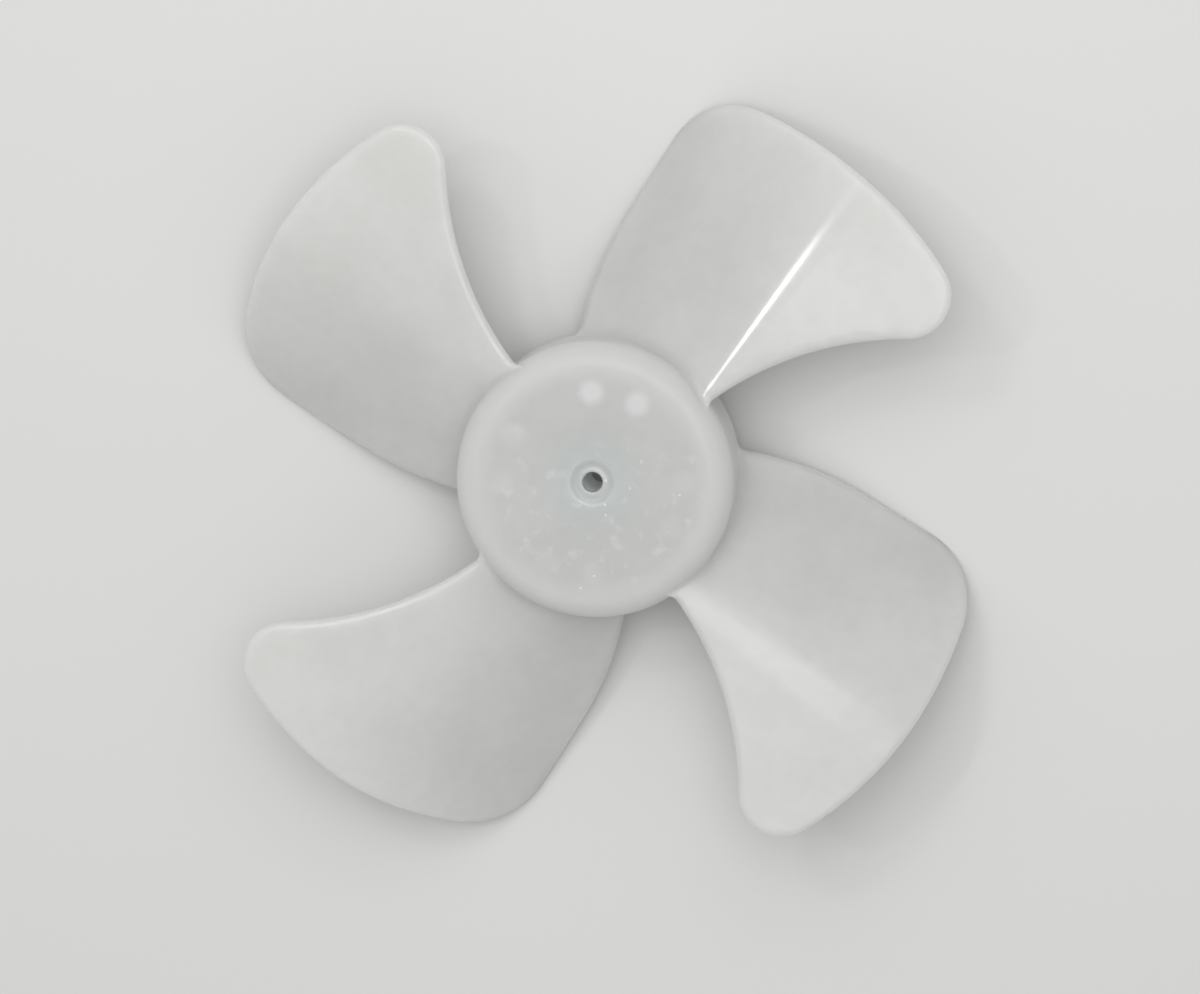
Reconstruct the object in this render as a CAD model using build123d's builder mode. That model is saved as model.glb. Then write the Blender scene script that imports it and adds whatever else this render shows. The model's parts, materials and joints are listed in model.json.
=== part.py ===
# One-piece moulded fan wheel for a refrigerator's cold-air fan: a closed cup of a hub
# with a boss for the motor shaft, and four bent blades that grow out of its side.
# The wheel lies with its closed face up, on the low corners of its blades, at z = 0.
from build123d import *
from math import cos, radians, sin, sqrt, tan
import os

# Wheel
blade_count = 4
first_blade_angle = 58.0

# Hub cup, open at the rear
hub_radius = 20.2
hub_height = 14.0
hub_draft = 1.0
hub_edge_round = 3.6
hub_wall = 1.8
hub_face = 2.0
hub_inner_bevel = 1.2
hub_rim_bevel = 0.4

# Shaft boss inside the cup, its bore and the shallow dish round the bore on the face
bore_diameter = 3.0
bore_lead_in = 0.4
boss_diameter = 8.4
boss_recess = 1.5
boss_root_bevel = 0.9
dish_diameter = 6.0
dish_depth = 0.35

# Round marks that the ejector pins leave inside the cup, a pair for each blade
mark_diameter = 3.6
mark_depth = 0.2
mark_circle_radius = 13.2
mark_pair_turn = 17.0
mark_pair_spread = 30.0

# Blade plate: a flat flap along the high edge, a bend, and a steep part down to the low edge.
# Root values hold where the plate starts inside the hub, tip values where it ends past the tip.
blade_thickness = 1.4
bend_drop = 1.8
bend_offset_root = 6.0
bend_offset_tip = 4.5
bend_radius_root = 3.0
bend_radius_tip = 35.0
flap_pitch = 5.6
steep_pitch_root = 25.5
steep_pitch_tip = 40.0

# Blade outline in plan, x out along the blade and y towards its low edge
root_depth = 12.0
tip_radius = 58.4
tip_arc_radius = 54.2
tip_arc_shift = 3.1
high_root_reach = 19.0
high_root_offset = 8.4
high_corner_angle = 38.7
high_corner_round = 6.3
high_edge_bow = 4.2
low_edge_offset = 16.9
low_edge_start = 34.0
low_root_reach = 13.5
low_root_offset = 12.7
low_corner_round = 11.0

# The plate is drawn past its outline on all sides and then trimmed to it
plate_margin = 4.0
plate_start = root_depth - plate_margin
plate_end = tip_radius + plate_margin


def plate_section(x):
    """The bent plate cut across at x, with the hub's face at height zero."""
    share = (x - plate_start) / (plate_end - plate_start)
    bend_offset = bend_offset_root + share * (bend_offset_tip - bend_offset_root)
    bend_radius = bend_radius_root + share * (bend_radius_tip - bend_radius_root)
    steep_pitch = steep_pitch_root + share * (steep_pitch_tip - steep_pitch_root)
    mean_pitch = radians(flap_pitch + steep_pitch) / 2
    bend_step = blade_thickness / cos(radians(steep_pitch - flap_pitch) / 2)
    flap_rise = tip_radius * tan(radians(flap_pitch))
    steep_fall = tip_radius * tan(radians(steep_pitch))
    with BuildSketch(Plane.YZ.offset(x)) as section:
        with BuildLine():
            sides = []
            for depth, radius in ((0, bend_radius + blade_thickness), (bend_step, bend_radius)):
                y = -bend_offset - depth * sin(mean_pitch)
                z = -bend_drop - depth * cos(mean_pitch)
                side = FilletPolyline(
                    (y - tip_radius, z + flap_rise),
                    (y, z),
                    (y + tip_radius, z - steep_fall),
                    radius=radius,
                )
                sides.append(side)
            Line(sides[0] @ 0, sides[1] @ 0)
            Line(sides[0] @ 1, sides[1] @ 1)
        make_face()
    return section.sketch


# Blade
high_root = (high_root_reach, -high_root_offset)
low_root = (low_root_reach, low_root_offset)
tip_arc_centre = Vector(tip_radius - tip_arc_radius, -tip_arc_shift)
high_tip = tip_arc_centre + Vector(tip_arc_radius, 0).rotate(Axis.Z, -high_corner_angle)
low_tip_rise = low_edge_offset + tip_arc_shift
low_tip = tip_arc_centre + Vector(sqrt(tip_arc_radius**2 - low_tip_rise**2), low_tip_rise)
tip_middle = tip_arc_centre + Vector(tip_arc_radius, 0)

with BuildSketch() as outline:
    with BuildLine():
        Line((root_depth, -high_root_offset), high_root)
        SagittaArc(high_root, high_tip, high_edge_bow)
        ThreePointArc(high_tip, tip_middle, low_tip)
        Line(low_tip, (low_edge_start, low_edge_offset))
        TangentArc((low_edge_start, low_edge_offset), low_root, tangent=(-1, 0))
        Polyline(low_root, (root_depth, low_root_offset), (root_depth, -high_root_offset))
    make_face()
    fillet(outline.vertices().sort_by_distance(high_tip)[0], high_corner_round)
    fillet(outline.vertices().sort_by_distance(low_tip)[0], low_corner_round)

with BuildPart() as blade:
    loft(sections=[plate_section(plate_start), plate_section(plate_end)], ruled=True)
    extrude(outline.sketch, amount=tip_radius, both=True, mode=Mode.INTERSECT)

face_height = -blade.part.bounding_box().min.Z

# Wheel
hub_rear = face_height - hub_height
hub_inside = face_height - hub_face
rear_radius = hub_radius + hub_height * tan(radians(hub_draft))
inner_rear_radius = rear_radius - hub_wall
inner_radius = hub_radius - hub_wall + hub_face * tan(radians(hub_draft))

with BuildPart() as fan_wheel:
    with BuildSketch(Plane.XZ) as cup:
        with BuildLine():
            Polyline(
                (0, hub_rear),
                (rear_radius, hub_rear),
                (hub_radius, face_height),
                (0, face_height),
                close=True,
            )
        make_face()
        fillet(cup.vertices().sort_by_distance((hub_radius, face_height))[0], hub_edge_round)
        chamfer(cup.vertices().sort_by_distance((rear_radius, hub_rear))[0], hub_rim_bevel)
    revolve(axis=Axis.Z)
    with Locations((0, 0, face_height)):
        with PolarLocations(0, blade_count, start_angle=first_blade_angle):
            add(blade.part)
    with BuildSketch(Plane.XZ) as hollow:
        with BuildLine():
            Polyline(
                (boss_diameter / 2, 0),
                (inner_rear_radius, 0),
                (inner_rear_radius, hub_rear),
                (inner_radius, hub_inside),
                (boss_diameter / 2, hub_inside),
                close=True,
            )
        make_face()
        chamfer(hollow.vertices().sort_by_distance((inner_radius, hub_inside))[0], hub_inner_bevel)
        chamfer(hollow.vertices().sort_by_distance((boss_diameter / 2, hub_inside))[0], boss_root_bevel)
    revolve(axis=Axis.Z, mode=Mode.SUBTRACT)
    with Locations(Plane.XY.offset(hub_rear + boss_recess)):
        Cylinder(boss_diameter / 2, face_height, align=(Align.CENTER, Align.CENTER, Align.MAX), mode=Mode.SUBTRACT)
    with Locations((0, 0, face_height)):
        CounterBoreHole(bore_diameter / 2, dish_diameter / 2, dish_depth)
    bore_mouths = fan_wheel.edges().filter_by(GeomType.CIRCLE)
    bore_mouths = bore_mouths.filter_by(lambda edge: edge.radius < dish_diameter / 2)
    chamfer(bore_mouths.sort_by(Axis.Z)[0], bore_lead_in)
    with Locations((0, 0, hub_inside)):
        for side in (-0.5, 0.5):
            turn = first_blade_angle + mark_pair_turn + side * mark_pair_spread
            with PolarLocations(mark_circle_radius, blade_count, start_angle=turn):
                Cylinder(mark_diameter / 2, 2 * mark_depth, mode=Mode.SUBTRACT)

fan_wheel.part.label = "fan_wheel"
os.makedirs("parts", exist_ok=True)
export_step(fan_wheel.part, "parts/fan_wheel.step")
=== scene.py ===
import json
from math import atan2, cos, pi, radians, sin, sqrt, tan

import bmesh
import bpy
import numpy as np
from mathutils import Matrix, Vector
from mathutils.geometry import delaunay_2d_cdt


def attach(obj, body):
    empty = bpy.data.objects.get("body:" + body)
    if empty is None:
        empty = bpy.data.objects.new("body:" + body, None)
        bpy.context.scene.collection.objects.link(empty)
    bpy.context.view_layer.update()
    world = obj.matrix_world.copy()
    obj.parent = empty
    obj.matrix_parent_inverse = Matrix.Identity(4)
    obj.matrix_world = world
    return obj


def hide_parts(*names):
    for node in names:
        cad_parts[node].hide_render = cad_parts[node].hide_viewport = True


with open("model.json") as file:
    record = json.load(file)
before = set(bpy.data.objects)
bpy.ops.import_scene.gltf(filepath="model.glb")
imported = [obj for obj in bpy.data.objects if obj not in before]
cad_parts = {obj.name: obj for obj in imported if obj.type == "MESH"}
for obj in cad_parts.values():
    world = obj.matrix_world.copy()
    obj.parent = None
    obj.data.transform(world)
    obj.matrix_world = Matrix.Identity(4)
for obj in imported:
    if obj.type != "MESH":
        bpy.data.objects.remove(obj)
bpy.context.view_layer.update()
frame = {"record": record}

# Hub cup
# The middle of the moulding: a closed cup, open at the rear, with a softly rounded front edge.
# A boss inside it takes the motor shaft, and its bore comes out in a shallow dish on the face.
# It is turned here from one closed outline.
MM = 0.001
shaft_bore = frame["record"]["mounts"][0]
BORE_RADIUS = shaft_bore["dims"]["r_mm"] * MM
BORE_MIDDLE = shaft_bore["pos_m"][2]
BORE_HALF = shaft_bore["dims"]["length_mm"] * MM / 2
BORE_LEAD_IN = 0.4 * MM
DISH_RADIUS = 3.0 * MM
DISH_DEPTH = 0.35 * MM
DISH_SLOPE = 0.6 * MM
DISH_EDGE = 0.45 * MM
LIP_RADIUS = 1.72 * MM
LIP_FOOT = 2.2 * MM
LIP_HEIGHT = 0.12 * MM
FACE_Z = BORE_MIDDLE + BORE_HALF + DISH_DEPTH
HUB_RADIUS = 20.2 * MM
HUB_HEIGHT = 14.0 * MM
HUB_EDGE_ROUND = 3.6 * MM
HUB_WALL = 1.8 * MM
HUB_FACE = 2.0 * MM
HUB_INNER_ROUND = 1.8 * MM
HUB_RIM_ROUND = 0.4 * MM
HUB_DRAFT = tan(radians(1.0))
BOSS_RADIUS = 4.2 * MM
BOSS_RECESS = 1.5 * MM
BOSS_ROOT_ROUND = 1.2 * MM
HUB_STEPS = 192
WALL_STEP = 0.7 * MM
HUB_REAR = FACE_Z - HUB_HEIGHT
HUB_INSIDE = FACE_Z - HUB_FACE
REAR_RADIUS = HUB_RADIUS + HUB_HEIGHT * HUB_DRAFT


def rounded(corner, start, end, radius, steps):
    """Points of the arc that rounds a corner between the points before and after it."""
    corner, start, end = (np.array(p, float) for p in (corner, start, end))
    back = (start - corner) / np.linalg.norm(start - corner)
    ahead = (end - corner) / np.linalg.norm(end - corner)
    half = np.arccos(np.clip(back @ ahead, -1, 1)) / 2
    middle = (back + ahead) / np.linalg.norm(back + ahead)
    centre = corner + middle * radius / sin(half)
    first = corner + back * radius / tan(half) - centre
    last = corner + ahead * radius / tan(half) - centre
    angle_first = atan2(first[1], first[0])
    turn = (atan2(last[1], last[0]) - angle_first + pi) % (2 * pi) - pi
    angles = angle_first + turn * np.linspace(0, 1, steps)
    return [tuple(centre + radius * np.array((cos(a), sin(a)))) for a in angles]


# Corners of the outline: where each lies, the radius of its round and the points on that round
wall_depths = np.arange(HUB_EDGE_ROUND + WALL_STEP, HUB_HEIGHT - WALL_STEP, WALL_STEP)
hub_corners = [
    ((BORE_RADIUS, FACE_Z - DISH_DEPTH), 0, 1),
    ((LIP_RADIUS, FACE_Z - DISH_DEPTH + LIP_HEIGHT), LIP_HEIGHT, 5),
    ((LIP_FOOT, FACE_Z - DISH_DEPTH), LIP_HEIGHT, 5),
    ((DISH_RADIUS - DISH_SLOPE / 2, FACE_Z - DISH_DEPTH), DISH_EDGE, 5),
    ((DISH_RADIUS + DISH_SLOPE / 2, FACE_Z), DISH_EDGE, 5),
    ((HUB_RADIUS, FACE_Z), HUB_EDGE_ROUND, 20),
    *[((HUB_RADIUS + depth * HUB_DRAFT, FACE_Z - depth), 0, 1) for depth in wall_depths],
    ((REAR_RADIUS, HUB_REAR), HUB_RIM_ROUND, 6),
    ((REAR_RADIUS - HUB_WALL, HUB_REAR), HUB_RIM_ROUND / 2, 5),
    ((HUB_RADIUS - HUB_WALL + HUB_FACE * HUB_DRAFT, HUB_INSIDE), HUB_INNER_ROUND, 10),
    ((BOSS_RADIUS, HUB_INSIDE), BOSS_ROOT_ROUND, 8),
    ((BOSS_RADIUS, HUB_REAR + BOSS_RECESS), HUB_RIM_ROUND / 2, 5),
    ((BORE_RADIUS + BORE_LEAD_IN, HUB_REAR + BOSS_RECESS), 0, 1),
    ((BORE_RADIUS, HUB_REAR + BOSS_RECESS + BORE_LEAD_IN), 0, 1),
]
hub_outline = []
for index, (corner, radius, steps) in enumerate(hub_corners):
    if radius:
        before = hub_corners[index - 1][0]
        after = hub_corners[(index + 1) % len(hub_corners)][0]
        hub_outline += rounded(corner, before, after, radius, steps)
    else:
        hub_outline.append(corner)

hub_rings = []
for step in range(HUB_STEPS):
    turn = 2 * pi * step / HUB_STEPS
    hub_rings.append([(r * cos(turn), r * sin(turn), z) for r, z in hub_outline])
ring_size = len(hub_outline)
hub_faces = []
for step in range(HUB_STEPS):
    here = step * ring_size
    there = (step + 1) % HUB_STEPS * ring_size
    for k in range(ring_size):
        after = (k + 1) % ring_size
        hub_faces.append((here + k, here + after, there + after, there + k))
hub_mesh = bpy.data.meshes.new("hub_cup")
hub_mesh.from_pydata([point for ring in hub_rings for point in ring], [], hub_faces)


def outward(mesh):
    """Turn every face of a closed mesh outwards."""
    shell = bmesh.new()
    shell.from_mesh(mesh)
    bmesh.ops.recalc_face_normals(shell, faces=shell.faces)
    shell.to_mesh(mesh)
    shell.free()


outward(hub_mesh)

# Blade
# One blade of the moulding: a thin plate with a nearly level flap along its high edge, a bend that opens
# towards the tip, and a steep part down to its low edge. It is rounded along its top edges.
# Plan sizes have x out along the blade and y towards the low edge; heights start from the hub's face.
BLADE_THICKNESS = 1.4 * MM
EDGE_WIDTH = 0.95 * MM
EDGE_DEPTH = {"top": 0.9 * MM, "under": 0.1 * MM}
ROOT_EDGE_SHARE = 0.04
BEND_DROP = 1.8 * MM
FLAP_PITCH = radians(5.6)
PLATE_START = {"x": 8.0 * MM, "bend_y": -6.0 * MM, "bend_radius": 3.0 * MM, "steep": radians(25.5)}
PLATE_END = {"x": 62.4 * MM, "bend_y": -4.5 * MM, "bend_radius": 35.0 * MM, "steep": radians(40.0)}
TIP_RADIUS = 58.4 * MM
TIP_ARC_RADIUS = 54.2 * MM
TIP_ARC_CENTRE = np.array((TIP_RADIUS - TIP_ARC_RADIUS, -3.1 * MM))
HIGH_ROOT = np.array((19.0, -8.4)) * MM
HIGH_CORNER_ANGLE = radians(-38.7)
HIGH_CORNER_ROUND = 6.3 * MM
HIGH_EDGE_BOW = 4.2 * MM
LOW_EDGE_Y = 16.9 * MM
LOW_EDGE_START = np.array((34.0, 16.9)) * MM
LOW_ROOT = np.array((13.5, 12.7)) * MM
LOW_CORNER_ROUND = 11.0 * MM
ROOT_RADIUS = HUB_RADIUS - HUB_WALL / 2
ROOT_FILLET = 1.2 * MM
HIGH_ROOT_FILLET = 0.4 * MM
EDGE_FILLET = 0.8 * MM
HIGH_EDGE_FILLET = 0.2 * MM
FILLET_START = 2.0 * MM
FILLET_END = 4.0 * MM
ROUND_TRIES = 30
BEND_STEPS = 96
OUTLINE_STEP = 0.7 * MM
ROOT_STEP = 0.16 * MM
EDGE_STEP = 0.1 * MM
PLATE_STEP = 1.1 * MM
RIM_CLEARANCE = 0.4 * OUTLINE_STEP
CLOSE_REACH = HUB_RADIUS + 2 * ROOT_FILLET
ROWS_REACH = HUB_RADIUS + 1.5 * ROOT_FILLET
ROW_OFFSETS = (-0.3, 0.0, 0.08, 0.2, 0.35, 0.55, 0.8, 1.1, 1.4)
ROW_SPAN = pi / 3
ROW_SKIP = 6
EDGE_TILTS = np.radians((22.5, 45, 67.5, 90))
SAME_POINT = 1e-7
SAME_CORNER = 1e-9
NOT_ZERO = 1e-15


def bent_profile(end, depth):
    """The plate's top (depth 0) or underside at one end: y and z from the flap round to the low side."""
    mean_pitch = (FLAP_PITCH + end["steep"]) / 2
    half = (end["steep"] - FLAP_PITCH) / 2
    step = depth / cos(half)
    radius = end["bend_radius"] + BLADE_THICKNESS - depth
    y = end["bend_y"] - step * sin(mean_pitch)
    z = -BEND_DROP - step * cos(mean_pitch)
    tangent = radius * tan(half)
    start_y = y - tangent * cos(FLAP_PITCH)
    start_z = z + tangent * sin(FLAP_PITCH)
    tilt = np.linspace(FLAP_PITCH, end["steep"], BEND_STEPS)
    arc_y = start_y + radius * (np.sin(tilt) - sin(FLAP_PITCH))
    arc_z = start_z + radius * (np.cos(tilt) - cos(FLAP_PITCH))
    flap_rise = TIP_RADIUS * tan(FLAP_PITCH)
    steep_fall = TIP_RADIUS * tan(end["steep"])
    all_y = np.concatenate(([y - TIP_RADIUS], arc_y, [y + TIP_RADIUS]))
    all_z = np.concatenate(([z + flap_rise], arc_z, [z - steep_fall]))
    return all_y, all_z


def plate_heights(points, depth):
    """Heights of the plate's top or underside over plan points, straight between its two ends."""
    start_y, start_z = bent_profile(PLATE_START, depth)
    end_y, end_z = bent_profile(PLATE_END, depth)
    share = (points[:, 0] - PLATE_START["x"]) / (PLATE_END["x"] - PLATE_START["x"])
    heights = [
        np.interp(y, (1 - s) * start_y + s * end_y, (1 - s) * start_z + s * end_z)
        for y, s in zip(points[:, 1], share)
    ]
    return FACE_Z + np.array(heights)


def arc(centre, radius, first, last):
    """Points of an arc about a centre, between two angles."""
    count = max(8, int(abs(last - first) * radius / EDGE_STEP))
    angles = np.linspace(first, last, count)
    return np.stack((centre[0] + radius * np.cos(angles), centre[1] + radius * np.sin(angles)), axis=1)


def bearing(point, centre):
    """Angle of a point seen from a centre."""
    return atan2(point[1] - centre[1], point[0] - centre[0])


def evenly(points, step):
    """The same line through points that lie a step apart."""
    lengths = np.concatenate(([0], np.cumsum(np.linalg.norm(np.diff(points, axis=0), axis=1))))
    places = np.linspace(0, lengths[-1], round(lengths[-1] / step) + 1)
    return np.stack([np.interp(places, lengths, points[:, k]) for k in range(2)], axis=1)


# High edge: a hollow arc from the hub to the high corner, which is rounded into the tip arc
high_tip = TIP_ARC_CENTRE + TIP_ARC_RADIUS * np.array((cos(HIGH_CORNER_ANGLE), sin(HIGH_CORNER_ANGLE)))
chord = high_tip - HIGH_ROOT
chord_length = np.linalg.norm(chord)
high_radius = (chord_length**2 / 4 + HIGH_EDGE_BOW**2) / (2 * HIGH_EDGE_BOW)
away = np.array((chord[1], -chord[0])) / chord_length
high_centre = (HIGH_ROOT + high_tip) / 2 + away * (high_radius - HIGH_EDGE_BOW)
span = TIP_ARC_CENTRE - high_centre
gap = np.linalg.norm(span)
reach_high = high_radius + HIGH_CORNER_ROUND
reach_tip = TIP_ARC_RADIUS - HIGH_CORNER_ROUND
along = (gap**2 + reach_high**2 - reach_tip**2) / (2 * gap)
across = sqrt(reach_high**2 - along**2)
unit = span / gap
corner_high = high_centre + along * unit + across * np.array((unit[1], -unit[0]))

# Low edge: straight from the low corner, then drawn in towards the hub
corner_low = np.array((0, LOW_EDGE_Y - LOW_CORNER_ROUND))
drop = corner_low[1] - TIP_ARC_CENTRE[1]
corner_low[0] = TIP_ARC_CENTRE[0] + sqrt((TIP_ARC_RADIUS - LOW_CORNER_ROUND)**2 - drop**2)
pull = LOW_EDGE_START - LOW_ROOT
low_radius = (pull @ pull) / (2 * pull[1])
low_centre = LOW_EDGE_START - np.array((0, low_radius))

toward_tip_high = bearing(corner_high, TIP_ARC_CENTRE)
toward_tip_low = bearing(corner_low, TIP_ARC_CENTRE)
edge_line = np.concatenate((
    np.array(((ROOT_RADIUS / 2, HIGH_ROOT[1]), HIGH_ROOT)),
    arc(high_centre, high_radius, bearing(HIGH_ROOT, high_centre), bearing(corner_high, high_centre)),
    arc(corner_high, HIGH_CORNER_ROUND, bearing(high_centre, corner_high), toward_tip_high),
    arc(TIP_ARC_CENTRE, TIP_ARC_RADIUS, toward_tip_high, toward_tip_low),
    arc(corner_low, LOW_CORNER_ROUND, toward_tip_low, pi / 2),
    arc(low_centre, low_radius, pi / 2, bearing(LOW_ROOT, low_centre)),
))


def inward_of(line, closed):
    """Unit normals of a line of plan points, to the left of its run."""
    if closed:
        run = np.roll(line, -1, axis=0) - np.roll(line, 1, axis=0)
    else:
        run = np.gradient(line, axis=0)
    return np.stack((-run[:, 1], run[:, 0]), axis=1) / np.linalg.norm(run, axis=1)[:, None]


def hub_distance(points, z):
    """Distance of points from the hub's outside, with its front round, its draft and its rear round."""
    reach = np.hypot(points[:, 0], points[:, 1]) - HUB_RADIUS - (FACE_Z - z) * HUB_DRAFT
    over_face = np.maximum(z - FACE_Z + HUB_EDGE_ROUND, 0)
    over_rear = np.maximum(HUB_REAR + HUB_RIM_ROUND - z, 0)
    front = np.hypot(np.maximum(reach + HUB_EDGE_ROUND, 0), over_face) - HUB_EDGE_ROUND
    rear = np.hypot(np.maximum(reach + HUB_RIM_ROUND, 0), over_rear) - HUB_RIM_ROUND
    return np.maximum(front, rear)


def root_round(z, least, most):
    """Radius of a root round by height: small beside the hub's rounded front edge, full lower down."""
    share = np.clip((FACE_Z - z - FILLET_START) / (FILLET_END - FILLET_START), 0, 1)
    return least + (most - least) * share


def swell(near, radius):
    """How far a surface stands out in a root round, by its distance from the hub."""
    return radius - np.sqrt(radius**2 - (radius - np.clip(near, 0, radius))**2)


def round_shift(distance, radius):
    """How far points move in a root round, from their distance to the hub after a move."""
    least = np.zeros(len(radius))
    most = radius
    for _ in range(ROUND_TRIES):
        middle = (least + most) / 2
        more = swell(distance(middle), radius) > middle
        least = np.where(more, middle, least)
        most = np.where(more, most, middle)
    return (least + most) / 2


# Both edges widen into the hub in the same round as the plate's two sides
steps = np.linalg.norm(np.diff(edge_line, axis=0), axis=1)
edge_line = edge_line[np.concatenate(([True], steps > SAME_POINT))]
edge_line = evenly(edge_line, EDGE_STEP)
edge_height = (plate_heights(edge_line, 0) + plate_heights(edge_line, BLADE_THICKNESS)) / 2
edge_out = -inward_of(edge_line, False)
edge_round = root_round(edge_height, HIGH_EDGE_FILLET, EDGE_FILLET)
edge_shift = round_shift(
    lambda move: hub_distance(edge_line + edge_out * move[:, None], edge_height), edge_round
)
edge_line = edge_line + edge_out * edge_shift[:, None]
edge_line = edge_line[np.hypot(edge_line[:, 0], edge_line[:, 1]) > ROOT_RADIUS]
root_line = arc((0, 0), ROOT_RADIUS, bearing(edge_line[-1], (0, 0)), bearing(edge_line[0], (0, 0)))

# Points lie close together where the edges run into the hub
free = np.flatnonzero(np.hypot(edge_line[:, 0], edge_line[:, 1]) > CLOSE_REACH)
outline = np.concatenate((
    evenly(edge_line[:free[0] + 1], ROOT_STEP)[:-1],
    evenly(edge_line[free[0]:free[-1] + 1], OUTLINE_STEP)[:-1],
    evenly(edge_line[free[-1]:], ROOT_STEP),
    evenly(root_line, OUTLINE_STEP)[1:-1],
))
inward = inward_of(outline, True)


def inside(points, loop):
    """Which plan points lie inside a closed loop."""
    found = np.zeros(len(points), bool)
    for a, b in zip(loop, np.roll(loop, -1, axis=0)):
        crosses = (a[1] > points[:, 1]) != (b[1] > points[:, 1])
        level = (points[:, 1] - a[1]) * (b[0] - a[0]) / (b[1] - a[1] + NOT_ZERO) + a[0]
        found ^= crosses & (points[:, 0] < level)
    return found


# Plan points of the plate: a lattice, with rows close together round the root where the plate swells
outline_height = (plate_heights(outline, 0) + plate_heights(outline, BLADE_THICKNESS)) / 2
clear = np.clip(hub_distance(outline, outline_height) / ROOT_FILLET, 0, 1)
edge_share = ROOT_EDGE_SHARE + (1 - ROOT_EDGE_SHARE) * clear**2 * (3 - 2 * clear)
edge_inset = EDGE_WIDTH * edge_share[:, None] * inward
rim = outline + edge_inset
columns = np.arange(-TIP_RADIUS, TIP_RADIUS, PLATE_STEP)
lattice = np.array([(x + (row % 2) * PLATE_STEP / 2, y) for row, y in enumerate(columns) for x in columns])
lattice = lattice[np.hypot(lattice[:, 0], lattice[:, 1]) > ROWS_REACH]
root_rows = [
    arc((0, 0), HUB_RADIUS + offset * ROOT_FILLET, -ROW_SPAN, ROW_SPAN)[::ROW_SKIP]
    for offset in ROW_OFFSETS
]
plan = np.concatenate([lattice] + root_rows)
plan = plan[inside(plan, rim)]
nearest = np.array([np.min(np.hypot(*(rim - p).T)) for p in plan])
plan = plan[nearest > RIM_CLEARANCE]
rim_edges = [(k, (k + 1) % len(rim)) for k in range(len(rim))]
cut_points, _, cut_faces, *_ = delaunay_2d_cdt(
    [Vector(p) for p in np.concatenate((rim, plan))], rim_edges, [], 1, SAME_CORNER
)
sheet = np.array([tuple(p) for p in cut_points])


def blade_side(points, depth):
    """Top or underside of the finished plate over plan points, with its root round down to the hub's rim."""
    z = plate_heights(points, depth)
    way = -1 if depth else 1
    radius = root_round(z, HIGH_ROOT_FILLET, ROOT_FILLET)
    turned = z + way * round_shift(lambda move: hub_distance(points, z + way * move), radius)
    return np.maximum(turned, np.minimum(z, HUB_REAR + HUB_RIM_ROUND))


blade_points = []
for depth in (0, BLADE_THICKNESS):
    blade_points += [(x, y, z) for (x, y), z in zip(sheet, blade_side(sheet, depth))]
count = len(sheet)
blade_faces = [tuple(f) for f in cut_faces]
blade_faces += [tuple(count + k for k in reversed(f)) for f in cut_faces]

# Rounded edge: rings from the top's rim, out and down to the underside's rim
rings = [list(range(len(rim)))]
for side, tilts in (("top", EDGE_TILTS), ("under", EDGE_TILTS[::-1])):
    for tilt in tilts:
        ring = outline + (1 - sin(tilt)) * edge_inset
        ring_top = blade_side(ring, 0)
        ring_under = blade_side(ring, BLADE_THICKNESS)
        thicker = (ring_top - ring_under) / BLADE_THICKNESS
        fall = EDGE_DEPTH[side] * edge_share * (1 - cos(tilt)) * thicker
        ring_z = ring_top - fall if side == "top" else ring_under + fall
        rings.append(list(range(len(blade_points), len(blade_points) + len(rim))))
        blade_points += [(x, y, z) for (x, y), z in zip(ring, ring_z)]
rings.append([count + k for k in range(len(rim))])
for upper, lower in zip(rings, rings[1:]):
    for k in range(len(rim)):
        after = (k + 1) % len(rim)
        blade_faces.append((upper[k], lower[k], lower[after], upper[after]))
blade_mesh = bpy.data.meshes.new("blade")
blade_mesh.from_pydata(blade_points, [], blade_faces)
outward(blade_mesh)
blade = bpy.data.objects.new("blade", blade_mesh)
bpy.context.scene.collection.objects.link(blade)

# Natural plastic
# Unpigmented polypropylene, straight from the mould: milky, so light comes through it but no shape behind
# it does, with a satin skin, glossier on the blades, and a faint cloudiness. Painted light and shade stand in
# for the light that comes through it: a lighter rim on the hub, a cooler, darker middle over the boss, pale
# discs at the ejector marks and a faint glow in the bore. The hub's face has fine scuffs.
PLASTIC_SHADE = (0.58, 0.58, 0.565, 1)
PLASTIC_LIGHT = (0.64, 0.64, 0.625, 1)
# Painted light and shade: a darker, cooler middle over the boss, pale discs at the ejector marks and a lit
# bore wall
BOSS_SHADE_TINT = (0.93, 0.98, 0.985, 1)
MARK_LIGHT_TINT = (1.27, 1.28, 1.29, 1)
BORE_PAINTED_LIGHT = (0.94, 0.95, 0.95, 1)
BORE_GLOW = (0.04, 0.042, 0.043, 1)
SCUFF_COLOUR = (0.84, 0.85, 0.85, 1)
DUST_COLOUR = (0.30, 0.28, 0.26, 1)
MARK_RADIUS = 1.8 * MM
MARK_DEPTH = 0.2 * MM
MARK_CIRCLE = 13.2 * MM
FIRST_MARK_ANGLE = radians(60)
MARK_PAIR_ANGLE = radians(30)
MARK_PAIRS = 4
HAZE_SIZE = 14.0 * MM
FINE_HAZE_SIZE = 2.0 * MM
SMUDGE_SIZE = 2.2 * MM
GRAIN_SIZE = 0.7 * MM
# Painted light on the hub's rim: where it fades in, and how strong it is
RIM_LIGHT_FADE = (14.0 * MM, 18.0 * MM)
RIM_LIGHT_SHARE = 0.35
BOSS_SHADE_FADE = (11.0 * MM, 3.0 * MM)
DISC_LIGHT_FADE = (5.0 * MM, 11.0 * MM)
WEAKEST_DISC_LIGHT = 0.2
FACE_FADE = (17.0 * MM, 15.0 * MM)
WORN_FADE = (8.0 * MM, -3.0 * MM)
LEAST_WORN = 0.15
HUB_GLOSS = 0.08
BLADE_GLOSS = 0.9
TIP_FADE = (54.0 * MM, 43.0 * MM)
TIP_GLOSS = 0.3


def grow(tree, kind, **settings):
    """A new node with its settings."""
    new = tree.nodes.new(kind)
    for name, value in settings.items():
        setattr(new, name, value)
    return new


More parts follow.
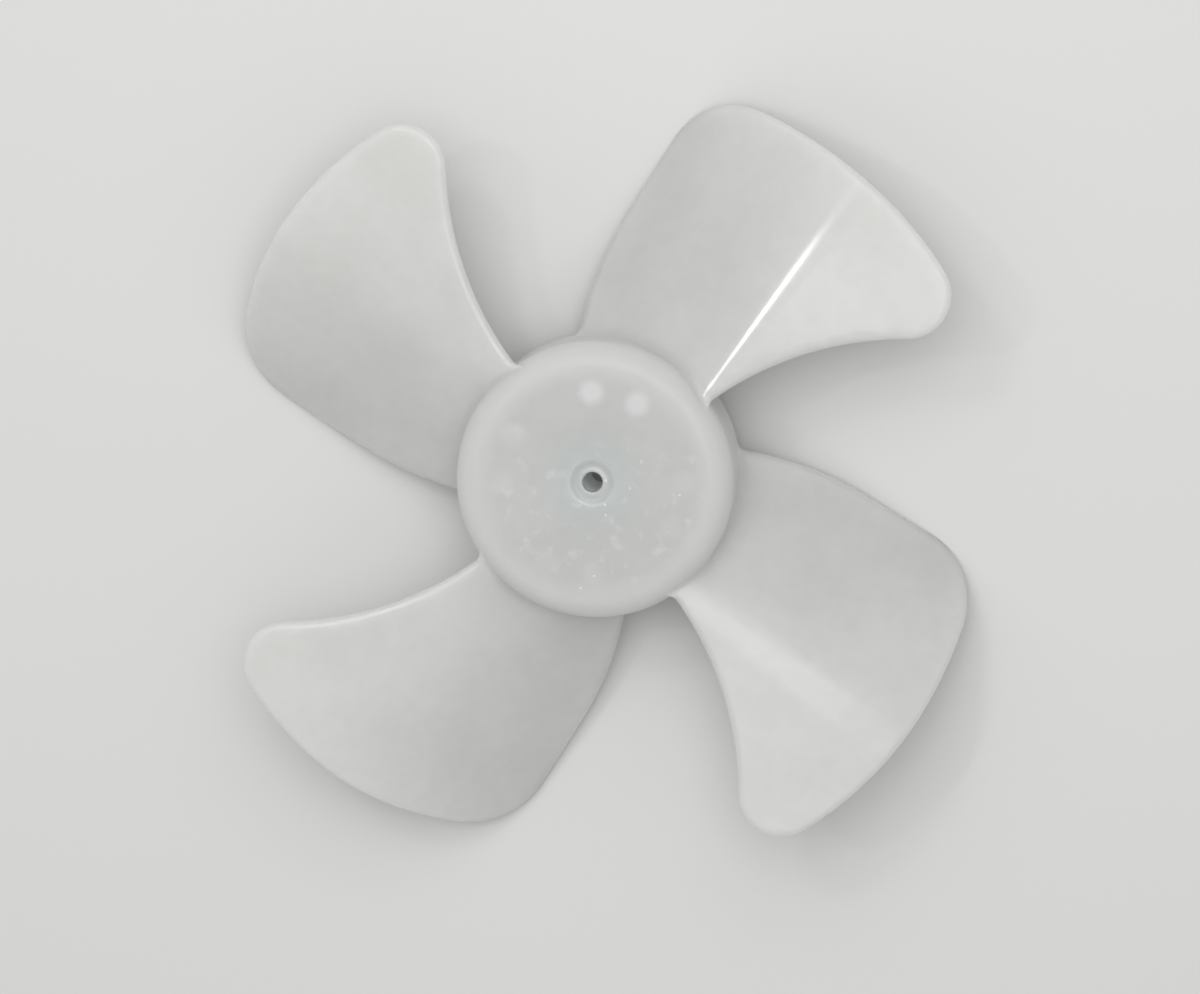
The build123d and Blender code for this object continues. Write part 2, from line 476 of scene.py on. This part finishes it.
def calc(tree, operation, first, second=None, third=None):
    """A Math node fed by sockets or plain numbers; gives its result."""
    new = grow(tree, "ShaderNodeMath", operation=operation)
    for socket, value in zip(new.inputs, (first, second, third)):
        if isinstance(value, bpy.types.NodeSocket):
            tree.links.new(value, socket)
        elif value is not None:
            socket.default_value = value
    return new.outputs[0]


def fade(tree, value, start, end, low=0.0, high=1.0):
    """A smooth step from low at start to high at end."""
    new = grow(tree, "ShaderNodeMapRange", interpolation_type="SMOOTHSTEP")
    tree.links.new(value, new.inputs["Value"])
    for name, number in (("From Min", start), ("From Max", end), ("To Min", low), ("To Max", high)):
        if isinstance(number, bpy.types.NodeSocket):
            tree.links.new(number, new.inputs[name])
        else:
            new.inputs[name].default_value = number
    return new.outputs["Result"]


def tint(tree, mask, base, colour, blend="MIX"):
    """One colour laid over another where the mask is."""
    new = grow(tree, "ShaderNodeMix", data_type="RGBA", blend_type=blend)
    tree.links.new(mask, new.inputs["Factor"])
    tree.links.new(base, new.inputs["A"])
    new.inputs["B"].default_value = colour
    return new.outputs["Result"]


def effect(name, inputs, output):
    """An empty shader group with named inputs and one output: the tree, its inputs and its end."""
    group = bpy.data.node_groups.new(name, "ShaderNodeTree")
    for socket_name, kind in inputs:
        group.interface.new_socket(socket_name, in_out="INPUT", socket_type="NodeSocket" + kind)
    group.interface.new_socket(output, in_out="OUTPUT", socket_type="NodeSocketFloat")
    start = grow(group, "NodeGroupInput")
    end = grow(group, "NodeGroupOutput")
    return group, start.outputs, end.inputs[output]


# Round marks in a ring about the axis: the mask for the pale discs of painted light over the ejector marks
# inside the cup
marks, given, result = effect(
    "round_marks",
    [
        ("Vector", "Vector"),
        ("First Angle", "Float"),
        ("Count", "Float"),
        ("Circle", "Float"),
        ("Radius", "Float"),
    ],
    "Mask",
)
place = grow(marks, "ShaderNodeSeparateXYZ")
marks.links.new(given["Vector"], place.inputs[0])
turned = calc(marks, "ARCTAN2", place.outputs["Y"], place.outputs["X"])
turned = calc(marks, "SUBTRACT", turned, given["First Angle"])
sector = calc(marks, "DIVIDE", pi, given["Count"])
turned = calc(marks, "WRAP", turned, sector, calc(marks, "MULTIPLY", sector, -1.0))
reach = calc(marks, "SQRT", calc(
    marks, "MULTIPLY_ADD", place.outputs["X"], place.outputs["X"],
    calc(marks, "MULTIPLY", place.outputs["Y"], place.outputs["Y"]),
))
off_out = calc(marks, "MULTIPLY", reach, calc(marks, "COSINE", turned))
off_out = calc(marks, "SUBTRACT", off_out, given["Circle"])
off_side = calc(marks, "MULTIPLY", reach, calc(marks, "SINE", turned))
off = calc(marks, "SQRT", calc(
    marks, "MULTIPLY_ADD", off_out, off_out, calc(marks, "MULTIPLY", off_side, off_side),
))
disc_outer = calc(marks, "MULTIPLY", given["Radius"], 1.4)
disc_inner = calc(marks, "MULTIPLY", given["Radius"], 0.4)
marks.links.new(fade(marks, off, disc_outer, disc_inner), result)

# Specks: small ragged dots, one in a share of the cells of a grid of a given size
specks, given, result = effect(
    "specks",
    [("Vector", "Vector"), ("Spacing", "Float"), ("Share", "Float"), ("Dot", "Float")],
    "Mask",
)
ragged = grow(specks, "ShaderNodeTexNoise")
ragged.inputs["Scale"].default_value = 1 / (0.4 * MM)
ragged.inputs["Detail"].default_value = 2.0
specks.links.new(given["Vector"], ragged.inputs["Vector"])
shaken = grow(specks, "ShaderNodeMix", data_type="VECTOR")
shaken.inputs["Factor"].default_value = 0.35 * MM
specks.links.new(given["Vector"], shaken.inputs["A"])
specks.links.new(ragged.outputs["Color"], shaken.inputs["B"])
cells = grow(specks, "ShaderNodeTexVoronoi")
specks.links.new(shaken.outputs["Result"], cells.inputs["Vector"])
specks.links.new(calc(specks, "DIVIDE", 1.0, given["Spacing"]), cells.inputs["Scale"])
draw = grow(specks, "ShaderNodeSeparateColor")
specks.links.new(cells.outputs["Color"], draw.inputs[0])
chosen = calc(specks, "LESS_THAN", draw.outputs["Red"], given["Share"])
dot = fade(specks, cells.outputs["Distance"], given["Dot"], calc(specks, "MULTIPLY", given["Dot"], 0.4))
specks.links.new(calc(specks, "MULTIPLY", chosen, dot), result)

plastic = bpy.data.materials.new("natural_plastic")
plastic.use_nodes = True
tree = plastic.node_tree
skin = tree.nodes["Principled BSDF"]
where = grow(tree, "ShaderNodeTexCoord").outputs["Object"]
axes = grow(tree, "ShaderNodeSeparateXYZ")
tree.links.new(where, axes.inputs[0])
from_axis = calc(tree, "SQRT", calc(
    tree, "MULTIPLY_ADD", axes.outputs["X"], axes.outputs["X"],
    calc(tree, "MULTIPLY", axes.outputs["Y"], axes.outputs["Y"]),
))


def cloud(size, detail):
    """Soft noise whose blotches have about a size."""
    new = grow(tree, "ShaderNodeTexNoise")
    new.inputs["Scale"].default_value = 1 / size
    new.inputs["Detail"].default_value = detail
    tree.links.new(where, new.inputs["Vector"])
    return new.outputs["Fac"]


def masked(group, **values):
    """A placed effect; gives its mask."""
    new = grow(tree, "ShaderNodeGroup", node_tree=group)
    tree.links.new(where, new.inputs["Vector"])
    for name, value in values.items():
        new.inputs[name.replace("_", " ")].default_value = value
    return new.outputs[0]


# Cloudiness of the melt, with painted light added on the hub's rounded rim for the light that comes up
# through the wall under it
haze = calc(tree, "MULTIPLY", cloud(HAZE_SIZE, 3.0), 0.75)
haze = calc(tree, "ADD", haze, calc(tree, "MULTIPLY", cloud(FINE_HAZE_SIZE, 2.0), 0.25))
painted_rim_light = calc(
    tree, "MULTIPLY",
    fade(tree, from_axis, *RIM_LIGHT_FADE),
    fade(tree, from_axis, HUB_RADIUS + 1.5 * MM, HUB_RADIUS - 0.5 * MM),
)
haze = calc(tree, "MULTIPLY_ADD", painted_rim_light, RIM_LIGHT_SHARE, haze)
body = grow(tree, "ShaderNodeMix", data_type="RGBA")
tree.links.new(fade(tree, haze, 0.25, 0.75), body.inputs["Factor"])
body.inputs["A"].default_value = PLASTIC_SHADE
body.inputs["B"].default_value = PLASTIC_LIGHT
colour = body.outputs["Result"]

# Painted shade: a cooler, slightly darker middle over the boss, where less light comes up through the dark
# cup; then the pale discs
colour = tint(tree, fade(tree, from_axis, *BOSS_SHADE_FADE), colour, BOSS_SHADE_TINT, "MULTIPLY")
# Painted light: pale discs over the ejector marks, where more light comes through the thinner plastic,
# stronger towards the top of the face
for first_angle in (FIRST_MARK_ANGLE, FIRST_MARK_ANGLE + MARK_PAIR_ANGLE):
    lit_disc = masked(
        marks, First_Angle=first_angle, Count=float(MARK_PAIRS), Circle=MARK_CIRCLE, Radius=MARK_RADIUS
    )
    lit_disc = calc(tree, "MULTIPLY", lit_disc, fade(tree, axes.outputs["Y"], *DISC_LIGHT_FADE, WEAKEST_DISC_LIGHT, 1.0))
    colour = tint(tree, lit_disc, colour, MARK_LIGHT_TINT, "MULTIPLY")

# Painted light and a faint glow on the bore's wall, standing in for the light that comes through the boss
lit_bore_wall = calc(
    tree, "MULTIPLY",
    fade(tree, from_axis, BORE_RADIUS + 0.12 * MM, BORE_RADIUS + 0.04 * MM),
    fade(tree, axes.outputs["Z"], FACE_Z - 0.8 * MM, FACE_Z - 2.4 * MM),
)
colour = tint(tree, lit_bore_wall, colour, BORE_PAINTED_LIGHT)
glow = grow(tree, "ShaderNodeMix", data_type="RGBA")
tree.links.new(lit_bore_wall, glow.inputs["Factor"])
glow.inputs["A"].default_value = (0, 0, 0, 1)
glow.inputs["B"].default_value = BORE_GLOW
tree.links.new(glow.outputs["Result"], skin.inputs["Emission Color"])
skin.inputs["Emission Strength"].default_value = 1.0
plastic.cycles.emission_sampling = "NONE"

# Fine scuffs, most of them on the lower half of the face, and a grain of dust here and there
on_face = fade(tree, from_axis, *FACE_FADE)
worn_half = fade(tree, axes.outputs["Y"], *WORN_FADE, LEAST_WORN, 1.0)
scuffs = masked(specks, Spacing=1.8 * MM, Share=0.22, Dot=0.15)
smudges = fade(tree, cloud(SMUDGE_SIZE, 3.0), 0.54, 0.76, 0.0, 0.35)
scuffs = calc(tree, "MAXIMUM", scuffs, smudges)
scuffs = calc(tree, "MULTIPLY", scuffs, calc(tree, "MULTIPLY", on_face, worn_half))
colour = tint(tree, scuffs, colour, SCUFF_COLOUR)
dust = masked(specks, Spacing=11.0 * MM, Share=0.10, Dot=0.035)
colour = tint(tree, dust, colour, DUST_COLOUR)
tree.links.new(colour, skin.inputs["Base Color"])

# Satin skin with a slight unevenness, and a thin gloss on the blades and in the dish
tree.links.new(fade(tree, haze, 0.3, 0.7, 0.33, 0.39), skin.inputs["Roughness"])
grain = grow(tree, "ShaderNodeBump")
grain.inputs["Strength"].default_value = 0.08
grain.inputs["Distance"].default_value = 0.05 * MM
tree.links.new(cloud(GRAIN_SIZE, 1.0), grain.inputs["Height"])
tree.links.new(grain.outputs["Normal"], skin.inputs["Normal"])
skin.inputs["IOR"].default_value = 1.49
skin.inputs["Specular IOR Level"].default_value = 0.25
skin.inputs["Subsurface Weight"].default_value = 1.0
skin.inputs["Subsurface Radius"].default_value = (1.0, 0.99, 0.96)
skin.inputs["Subsurface Scale"].default_value = 6.5 * MM
gloss = fade(tree, from_axis, HUB_RADIUS - 0.7 * MM, HUB_RADIUS + 1.3 * MM, HUB_GLOSS, BLADE_GLOSS)
dish_gloss = fade(tree, from_axis, DISH_RADIUS + 1.0 * MM, DISH_RADIUS + 0.4 * MM, 0.0, BLADE_GLOSS)
gloss = calc(tree, "MAXIMUM", gloss, dish_gloss)
gloss = calc(tree, "MULTIPLY", gloss, fade(tree, from_axis, *TIP_FADE, TIP_GLOSS, 1.0))
tree.links.new(gloss, skin.inputs["Coat Weight"])
skin.inputs["Coat Roughness"].default_value = 0.12

# Moulding
# Hub and blades leave the mould as one piece: the blades are set round the axis and joined to the hub's wall.
# The pins that push it out of the mould leave a pair of shallow round marks inside the cup for each blade.
BLADE_COUNT = 4
FIRST_BLADE_ANGLE = radians(58)
PIN_SIDES = 48
SHARP_ANGLE = radians(35)
wheel = bpy.data.objects.new("fan_wheel_moulding", hub_mesh)
bpy.context.scene.collection.objects.link(wheel)

join = bpy.data.node_groups.new("blades_round_hub", "GeometryNodeTree")
join.interface.new_socket("Geometry", in_out="INPUT", socket_type="NodeSocketGeometry")
for name, kind in (
    ("Blade", "NodeSocketObject"),
    ("Blade Count", "NodeSocketInt"),
    ("First Angle", "NodeSocketFloat"),
    ("First Mark", "NodeSocketVector"),
    ("Second Mark", "NodeSocketVector"),
    ("Mark Radius", "NodeSocketFloat"),
    ("Mark Depth", "NodeSocketFloat"),
    ("Plastic", "NodeSocketMaterial"),
):
    join.interface.new_socket(name, in_out="INPUT", socket_type=kind)
join.interface.new_socket("Geometry", in_out="OUTPUT", socket_type="NodeSocketGeometry")
node = {}
for name, kind in (
    ("in", "NodeGroupInput"),
    ("blade", "GeometryNodeObjectInfo"),
    ("axis", "GeometryNodePoints"),
    ("index", "GeometryNodeInputIndex"),
    ("share", "ShaderNodeMath"),
    ("turn", "ShaderNodeMath"),
    ("angle", "ShaderNodeMath"),
    ("spin", "ShaderNodeCombineXYZ"),
    ("place", "GeometryNodeInstanceOnPoints"),
    ("real", "GeometryNodeRealizeInstances"),
    ("union", "GeometryNodeMeshBoolean"),
    ("pin", "GeometryNodeMeshCylinder"),
    ("first_pin", "GeometryNodeTransform"),
    ("second_pin", "GeometryNodeTransform"),
    ("pair", "GeometryNodeJoinGeometry"),
    ("pairs", "GeometryNodeInstanceOnPoints"),
    ("pins", "GeometryNodeRealizeInstances"),
    ("cut", "GeometryNodeMeshBoolean"),
    ("smooth", "GeometryNodeSetShadeSmooth"),
    ("material", "GeometryNodeSetMaterial"),
    ("out", "NodeGroupOutput"),
):
    node[name] = join.nodes.new(kind)
node["share"].operation = "DIVIDE"
node["share"].inputs[0].default_value = 2 * pi
node["turn"].operation = "MULTIPLY"
node["angle"].operation = "ADD"
node["union"].operation = "UNION"
node["union"].solver = "EXACT"
node["cut"].operation = "DIFFERENCE"
node["cut"].solver = "EXACT"
node["pin"].inputs["Vertices"].default_value = PIN_SIDES
for start, out_socket, end, in_socket in (
    ("in", "Blade", "blade", "Object"),
    ("in", "Blade Count", "axis", "Count"),
    ("in", "Blade Count", "share", 1),
    ("share", 0, "turn", 0),
    ("index", 0, "turn", 1),
    ("turn", 0, "angle", 0),
    ("in", "First Angle", "angle", 1),
    ("angle", 0, "spin", "Z"),
    ("axis", 0, "place", "Points"),
    ("blade", "Geometry", "place", "Instance"),
    ("spin", 0, "place", "Rotation"),
    ("place", 0, "real", 0),
    ("real", 0, "union", "Mesh 2"),
    ("in", "Geometry", "union", "Mesh 2"),
    ("in", "Mark Radius", "pin", "Radius"),
    ("in", "Mark Depth", "pin", "Depth"),
    ("pin", "Mesh", "first_pin", "Geometry"),
    ("in", "First Mark", "first_pin", "Translation"),
    ("pin", "Mesh", "second_pin", "Geometry"),
    ("in", "Second Mark", "second_pin", "Translation"),
    ("first_pin", 0, "pair", 0),
    ("second_pin", 0, "pair", 0),
    ("axis", 0, "pairs", "Points"),
    ("pair", 0, "pairs", "Instance"),
    ("spin", 0, "pairs", "Rotation"),
    ("pairs", 0, "pins", 0),
    ("union", 0, "cut", "Mesh 1"),
    ("pins", 0, "cut", "Mesh 2"),
    ("cut", 0, "smooth", 0),
    ("smooth", 0, "material", "Geometry"),
    ("in", "Plastic", "material", "Material"),
    ("material", 0, "out", 0),
):
    join.links.new(node[start].outputs[out_socket], node[end].inputs[in_socket])
modifier = wheel.modifiers.new("blades", "NODES")
modifier.node_group = join
sockets = {s.name: s.identifier for s in join.interface.items_tree if s.in_out == "INPUT"}
modifier[sockets["Blade"]] = blade
modifier[sockets["Blade Count"]] = BLADE_COUNT
modifier[sockets["First Angle"]] = FIRST_BLADE_ANGLE
for name, turn in (("First Mark", FIRST_MARK_ANGLE), ("Second Mark", FIRST_MARK_ANGLE + MARK_PAIR_ANGLE)):
    turn -= FIRST_BLADE_ANGLE
    modifier[sockets[name]] = (MARK_CIRCLE * cos(turn), MARK_CIRCLE * sin(turn), HUB_INSIDE)
modifier[sockets["Mark Radius"]] = MARK_RADIUS
modifier[sockets["Mark Depth"]] = 2 * MARK_DEPTH
modifier[sockets["Plastic"]] = plastic
bpy.context.view_layer.update()
made = bpy.data.meshes.new_from_object(wheel.evaluated_get(bpy.context.evaluated_depsgraph_get()))
wheel.modifiers.clear()
wheel.data = made
bpy.data.objects.remove(blade)
made.set_sharp_from_angle(angle=SHARP_ANGLE)
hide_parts("fan_wheel")
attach(wheel, "root")

# Floor
# A plain pale floor. The wheel rests on it with the low corners of its blades.
FLOOR_HALF = 1.5
FLOOR_COLOUR = (0.73, 0.73, 0.72, 1)
FLOOR_ROUGHNESS = 0.6
floor_mesh = bpy.data.meshes.new("floor")
floor_corners = [(FLOOR_HALF * x, FLOOR_HALF * y, 0) for x, y in ((-1, -1), (1, -1), (1, 1), (-1, 1))]
floor_mesh.from_pydata(floor_corners, [], [(0, 1, 2, 3)])
floor = bpy.data.objects.new("floor", floor_mesh)
bpy.context.scene.collection.objects.link(floor)
paint = bpy.data.materials.new("pale_floor")
paint.use_nodes = True
paint.node_tree.nodes["Principled BSDF"].inputs["Base Color"].default_value = FLOOR_COLOUR
paint.node_tree.nodes["Principled BSDF"].inputs["Roughness"].default_value = FLOOR_ROUGHNESS
floor_mesh.materials.append(paint)

# Light
# Soft light from all round, a large lamp on the camera's side and a nearer one above it. Two small lamps
# on the upper left draw the highlights on the blades.
WORLD_STRENGTH = 0.53
world = bpy.data.worlds.new("soft_light")
bpy.context.scene.world = world
world.use_nodes = True
world.node_tree.nodes["Background"].inputs["Color"].default_value = (1, 1, 1, 1)
world.node_tree.nodes["Background"].inputs["Strength"].default_value = WORLD_STRENGTH


def lamp(name, bearing_deg, height_deg, distance, size, power):
    """A square soft lamp that faces the wheel."""
    data = bpy.data.lights.new(name, "AREA")
    data.size = size
    data.energy = power
    thing = bpy.data.objects.new(name, data)
    height, turn = radians(height_deg), radians(bearing_deg)
    away = Vector((cos(height) * cos(turn), cos(height) * sin(turn), sin(height)))
    thing.location = away * distance
    thing.rotation_euler = away.to_track_quat("Z", "Y").to_euler()
    bpy.context.scene.collection.objects.link(thing)


lamp("top_lamp", bearing_deg=52, height_deg=80, distance=1.5, size=1.0, power=4.2)
lamp("upper_lamp", bearing_deg=85, height_deg=66, distance=0.36, size=0.30, power=0.34)
lamp("edge_lamp", bearing_deg=122, height_deg=55, distance=1.0, size=0.10, power=0.4)
lamp("left_lamp", bearing_deg=155, height_deg=60.5, distance=1.0, size=0.035, power=0.34)

# Camera
# Above the wheel and about ten degrees off its axis, towards the upper right. The focal share is the focal
# length over the picture's width.
EYE = Vector((80.26, 91.51, 700.0)) * MM
AIM = Vector((-0.04, -3.49, 10.0)) * MM
ROLL = -0.0098
FOCAL_SHARE = 4776.0 / 1200
SENSOR = 36.0
camera_data = bpy.data.cameras.new("camera")
camera_data.sensor_width = SENSOR
camera_data.lens = SENSOR * FOCAL_SHARE
camera_data.clip_start = 0.01
camera = bpy.data.objects.new("camera", camera_data)
bpy.context.scene.collection.objects.link(camera)
forward = (AIM - EYE).normalized()
right = forward.cross(Vector((0, 1, 0))).normalized()
up = right.cross(forward)
right, up = cos(ROLL) * right + sin(ROLL) * up, cos(ROLL) * up - sin(ROLL) * right
camera.matrix_world = Matrix.Translation(EYE) @ Matrix((right, up, -forward)).transposed().to_4x4()
bpy.context.scene.camera = camera
bpy.context.scene.view_settings.view_transform = "Standard"
